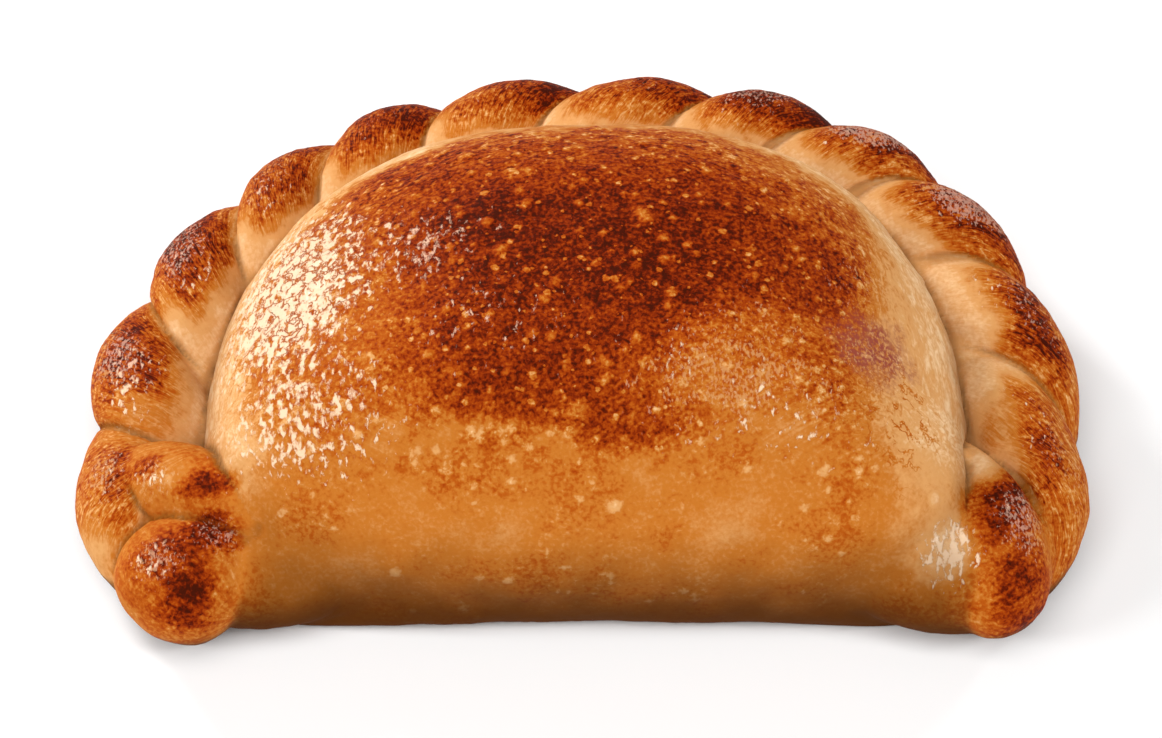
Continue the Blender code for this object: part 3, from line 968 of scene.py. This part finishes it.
def crustMaterial():
    look = crustFinish
    material = bpy.data.materials.new("bakedCrust")
    material.use_nodes = True
    tree = material.node_tree
    place = addNode(tree, "TexCoord", {}).outputs["Object"]
    tonesGroup, grain = bakedTonesGroup(), doughGrainGroup()
    spots, cracks, flecks = paleSpotsGroup(), fineCracksGroup(), glossFlecksGroup()

    def shown(value, name):
        return rangeNode(tree, value, *look[name])

    def centred(value, amount):
        return times(tree, mathNode(tree, "SUBTRACT", value, 0.5), amount)

    baked = readAttribute(tree, "baked")
    shadeAndBrowning = readAttribute(tree, "shadeAndBrowning")
    gloss = readAttribute(tree, "gloss")
    wellBaked = shown(baked, "wellBaked")
    onBrown = shown(baked, "onBrown")

    # how well each place is baked, with its grain, brush strokes, pale spots and cracks
    mottle, fine, sparkle = (
        placeGroup(tree, grain, {"Vector": place, **look[name]})
        for name in ("mottle", "grain", "sparkle"))
    strokePlace = readAttribute(tree, "strokePlace", "Vector")
    streak = placeGroup(tree, grain, {"Vector": strokePlace, **look["streak"]})
    uneven = mathNode(
        tree, "ADD", centred(mottle, look["mottleAmount"]), centred(fine, look["grainAmount"]))
    uneven = times(tree, uneven, shown(baked, "grainShows"))
    strength = times(tree, readAttribute(tree, "strokes"), shown(baked, "streaksShow"))
    streaks = times(tree, centred(streak, look["streakAmount"]), strength)
    level = mathNode(tree, "ADD", baked, mathNode(tree, "ADD", uneven, streaks))

    spotMask, dotMask = (
        placeGroup(tree, spots, {"Vector": place, **look[name]}) for name in ("spots", "dots"))
    spotMask = mathNode(tree, "MAXIMUM", spotMask, times(tree, dotMask, look["dotStrength"]))
    spotMask = times(tree, spotMask, readAttribute(tree, "onDome"), wellBaked)
    pale = mathNode(tree, "MAXIMUM", spotMask, readAttribute(tree, "blister"))
    level = mathNode(tree, "SUBTRACT", level, times(tree, pale, look["spotLift"], baked))

    crackMask, veinMask = (
        times(tree, placeGroup(tree, cracks, {"Vector": place, **look[name]}),
              readAttribute(tree, where), shown(mottle, name + "Show"))
        for name, where in (("cracks", "cracked"), ("veins", "veined")))
    crackMask = mathNode(tree, "MAXIMUM", crackMask, veinMask)
    cracked = mixNode(tree, crackMask, level, look["crackLevel"], "FLOAT")
    level = mathNode(tree, "MAXIMUM", level, cracked)

    # its colour, with the stain, then the painted sheen, the painted highlight flecks and the painted
    # shade in the creases and at the foot over it
    paintedSheenMask, highlightFleckMask = (
        placeGroup(tree, flecks, {
            "Vector": place, "Size mm": look[size], "Cover": readAttribute(tree, name)})
        for size, name in (("paintedSheenSize", "paintedSheen"), ("highlightFleckSize", "paintedHighlight")))
    highlightFleckMask = times(tree, highlightFleckMask, mathNode(tree, "SUBTRACT", 1.0, crackMask))
    color = placeGroup(tree, tonesGroup, {"Level": level})
    stained = times(tree, readAttribute(tree, "bruise"), shown(fine, "bruiseShows"))
    color = mixNode(tree, stained, color, look["bruiseColor"])
    for mask, name in ((paintedSheenMask, "paintedSheen"), (highlightFleckMask, "fleck")):
        overlay = mixNode(tree, onBrown, look[name + "Color"], look[name + "OnBrownColor"])
        color = mixNode(tree, times(tree, mask, look[name + "Amount"]), color, overlay)
    # painted shade over the creases and the foot, partly real browning at the foot
    color = mixNode(tree, shadeAndBrowning, color, look["shadeAndBrowningColor"])

    # its gloss and fine relief
    shadeAndBrowningRough = times(tree, shadeAndBrowning, look["shadeAndBrowningRoughness"])
    rough = mathNode(tree, "MAXIMUM", shown(level, "roughness"), shadeAndBrowningRough)
    # the coat's real gloss lies where the painted sheen and painted highlights are
    paintedLightMarks = mathNode(tree, "MAXIMUM", highlightFleckMask, paintedSheenMask)
    coat = times(tree, gloss, shown(shadeAndBrowning, "coatInCreases"), shown(sparkle, "coatSparkles"),
                 shown(baked, "coatOnBrown"), shown(paintedLightMarks, "coatOnFlecks"))
    height = 0.0
    for value, amount in (
            (times(tree, fine, wellBaked), look["grainHeight"]),
            (times(tree, sparkle, gloss), look["sparkleHeight"]),
            (mottle, look["mottleHeight"]), (streaks, look["streakHeight"]),
            (spotMask, look["spotHeight"]), (highlightFleckMask, look["highlightFleckHeight"]),
            (crackMask, -look["crackDepth"])):
        height = mathNode(tree, "MULTIPLY_ADD", value, amount, height)
    bump = addNode(tree, "Bump", {"Height": height, "Strength": 1.0, "Distance": 0.001})  # a millimetre
    normal = bump.outputs["Normal"]
    feed(tree, tree.nodes["Principled BSDF"], {
        "Base Color": color, "Roughness": rough, "Coat Weight": coat,
        "Normal": normal, "Coat Normal": normal, **look["shader"]})
    print("material:", material.name)
    return material


table = {"width": 6.0, "color": (0.99, 0.99, 0.99, 1), "roughness": 0.7}

studio = {
    "air": 0.14,  # white light from all round
    "lights": {
        "lowSoftbox": {"from": (-0.60, 0.68, 0.42), "distance": 0.8, "size": 0.17, "power": 4.2},
        "frontKey": {"from": (-0.10, -0.45, 0.89), "distance": 1.2, "size": 1.2, "power": 11.0},
        "rightBack": {"from": (0.75, 0.60, 0.35), "distance": 0.9, "size": 0.10, "power": 1.0},
        "leftFront": {"from": (-0.80, -0.35, 0.50), "distance": 1.0, "size": 0.25, "power": 3.0},
        "rightFront": {"from": (0.75, -0.30, 0.60), "distance": 1.0, "size": 0.25, "power": 3.0},
    },
}

view = {  # the photo's own: from in front, well above the table
    "lens": 135.0, "sensor": 36.0, "elevationDeg": 52.0,
    "imageWidth": 1162, "objectWidth": 1007,  # pixels
    "target": (-0.1, -6.7, 14.5),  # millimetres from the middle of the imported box's floor
}


def addTable():
    half = table["width"] / 2
    mesh = bpy.data.meshes.new("table")
    corners = [(-half, -half, 0), (half, -half, 0), (half, half, 0), (-half, half, 0)]
    mesh.from_pydata(corners, [], [(0, 1, 2, 3)])
    material = bpy.data.materials.new("whiteTable")
    material.use_nodes = True
    shader = material.node_tree.nodes["Principled BSDF"]
    shader.inputs["Base Color"].default_value = table["color"]
    shader.inputs["Roughness"].default_value = table["roughness"]
    mesh.materials.append(material)
    top = bpy.data.objects.new("table", mesh)
    top.location.z = boxLow.z
    bpy.context.scene.collection.objects.link(top)


def addLights(target):
    scene = bpy.context.scene
    world = bpy.data.worlds.new("whiteAir")
    world.use_nodes = True
    air = world.node_tree.nodes["Background"]
    air.inputs["Color"].default_value = (1, 1, 1, 1)
    air.inputs["Strength"].default_value = studio["air"]
    scene.world = world
    for name, settings in studio["lights"].items():
        lamp = bpy.data.lights.new(name, "AREA")
        lamp.shape = "SQUARE"
        lamp.size = settings["size"]
        lamp.energy = settings["power"]
        lampObject = bpy.data.objects.new(name, lamp)
        direction = Vector(settings["from"]).normalized()
        lampObject.location = target + direction * settings["distance"]
        lampObject.rotation_euler = direction.to_track_quat("Z", "Y").to_euler()
        scene.collection.objects.link(lampObject)


def addCamera(target):
    camera = bpy.data.cameras.new("photoView")
    camera.lens = view["lens"]
    camera.sensor_width = view["sensor"]
    cameraObject = bpy.data.objects.new("photoView", camera)
    elevation = math.radians(view["elevationDeg"])
    back = Vector((0, -math.cos(elevation), math.sin(elevation)))
    objectShare = view["objectWidth"] / view["imageWidth"]
    distance = (boxHigh.x - boxLow.x) / objectShare * view["lens"] / view["sensor"]
    cameraObject.location = target + back * distance
    cameraObject.rotation_euler = back.to_track_quat("Z", "Y").to_euler()
    bpy.context.scene.collection.objects.link(cameraObject)
    bpy.context.scene.camera = cameraObject


strokes = {  # brush strokes of egg wash
    "dome": 0.80, "ends": 0.45, "front": (-16.0, -4.0), "inward": (-30.0, -18.0),
    "rawRope": 0.22, "ropeLevels": (0.20, 0.50),
    # how the strokes' own places run: round and across the dome, across a strand and on to the next
    "round": 45.0, "across": 0.6, "strandAcross": 14.0, "nextStrand": 1.7,
}

bruise = patch((36.5, 3.5, 28), (4.8, 4.6, 6), 0.6, ragged=1.6, amount=1.0)
veined = patch((38, -5, 26), (6.5, 8, 9), 0.6, amount=0.95)
crackled = patch((-30, 12, 28), (17, 18, 14), 0.5, amount=1.0)


def strokePlaces(masks, turns, outward, places):
    # places along and across the brush strokes, which follow each strand and go round the dome
    placesDeg, strand, shares = places
    shrink = crustFinish["streak"]["Size mm"] / crustFinish["streakLength"]
    onDome = masks["body"] > 0.5
    roundDome = np.radians(turns) * strokes["round"]
    along = np.where(onDome, roundDome, np.radians(placesDeg) * rope["halfWidth"]) * shrink
    acrossRope = (shares + strand * strokes["nextStrand"]) * strokes["strandAcross"]
    across = np.where(onDome, outward * strokes["across"], acrossRope)
    return np.stack((along, across, 0 * shares), axis=1)


def strokeShares(points, masks, outward, level):
    # how strongly the strokes show
    onDome = strokes["dome"] * smoothStep(*strokes["front"], points[:, 1])
    onDome *= smoothStep(*strokes["inward"], outward)
    onRope = mixed(strokes["rawRope"], 1.0, smoothStep(*strokes["ropeLevels"], level))
    shown = onRope * masked(masks, "rope", "web") + strokes["ends"] * masked(masks, *endLobes)
    return shown + onDome * masks["body"]


def paintCrust(skin, points, normals, masks, edges):
    # what each point looks like, worked out from where it lies
    turns, outward, upward = rimPlaces(points)
    places = strandPlaces(turns, outward, upward)
    hollow = np.einsum("ij,ij->i", spread(points, edges, crustMesh["hollowRounds"]) - points, normals)
    hollow = spread(hollow, edges, crustMesh["hollowBlur"])[:, 0]
    level = bakedLevel(points, normals, masks, places, outward, hollow)
    lines = creaseLines(points, masks, places, hollow)
    heights, cover = reliefHeights(points, masks, level, lines)
    heights *= smoothStep(*relief["flatFoot"], points[:, 2])
    frayed = baking["edge"] * fractalNoise(points, baking["edgeSize"], 3, baking["seed"] + 5)
    where = points, places, masks
    looks = {
        "strokePlace": strokePlaces(masks, turns, outward, places) / 1000,
        "strokes": strokeShares(points, masks, outward, level),
        "baked": level, "onDome": masks["body"], "blister": cover,
        "shadeAndBrowning": shadeAndBrowningLevel(points, masks, hollow, lines),
        "paintedSheen": coverLevel("cover", paintedSheenPatches, ridgePaintedSheen, *where, frayed),
        "paintedHighlight": coverLevel("cover", paintedHighlightPatches, ridgePaintedHighlight, *where),
        "gloss": coverLevel("gloss", paintedHighlightPatches, ridgePaintedHighlight, *where),
        "bruise": bruise["amount"] * patchMask(points, bruise, frayed),
        "cracked": crackled["amount"] * patchMask(points, crackled),
        "veined": veined["amount"] * patchMask(points, veined, frayed),
    }
    for name, values in looks.items():
        setAttribute(skin, name, values)
    print("crust: baked", level.min().round(2), "to", level.max().round(2))
    return points + normals * heights[:, None]


def addCrust():
    meshes = {"body": bodyMesh(), "rope": ropeMesh(), "web": webMesh()}
    for name, lobe in cornerLobes.items():
        meshes[name] = lobeMesh(name, **lobe)
    print("pieces:", ", ".join(meshes))
    crust = crustSkin(list(meshes.values()))
    skin = crust.data
    edges = meshEdges(skin)
    masks = pieceMasks(meshPoints(skin), meshes, edges)
    for _ in range(crustMesh["fillPasses"]):
        movePoints(skin, fillJoins(meshPoints(skin), meshNormals(skin), edges))
    points = paintCrust(skin, meshPoints(skin), meshNormals(skin), masks, edges)
    movePoints(skin, points)
    print("skin:", len(points), "points")

    low, high = points.min(axis=0), points.max(axis=0)
    middle = (low + high) / 2
    boxMiddle = (boxLow + boxHigh) / 2
    skin.transform(Matrix.Translation((-middle[0], -middle[1], 0)))
    skin.transform(Matrix.Scale(mm, 4))
    skin.transform(Matrix.Translation((boxMiddle.x, boxMiddle.y, boxLow.z)))
    skin.shade_smooth()
    skin.materials.append(crustMaterial())
    crust.name = "empanadaCrust"
    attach(crust, "root")
    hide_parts("empanada")


def main():
    addCrust()
    scene = bpy.context.scene
    scene.view_settings.view_transform = "Standard"
    floorMiddle = Vector(((boxLow.x + boxHigh.x) / 2, (boxLow.y + boxHigh.y) / 2, boxLow.z))
    target = floorMiddle + Vector(view["target"]) * mm
    addTable()
    addLights(target)
    addCamera(target)
    print("table, lights and camera are in place")


main()
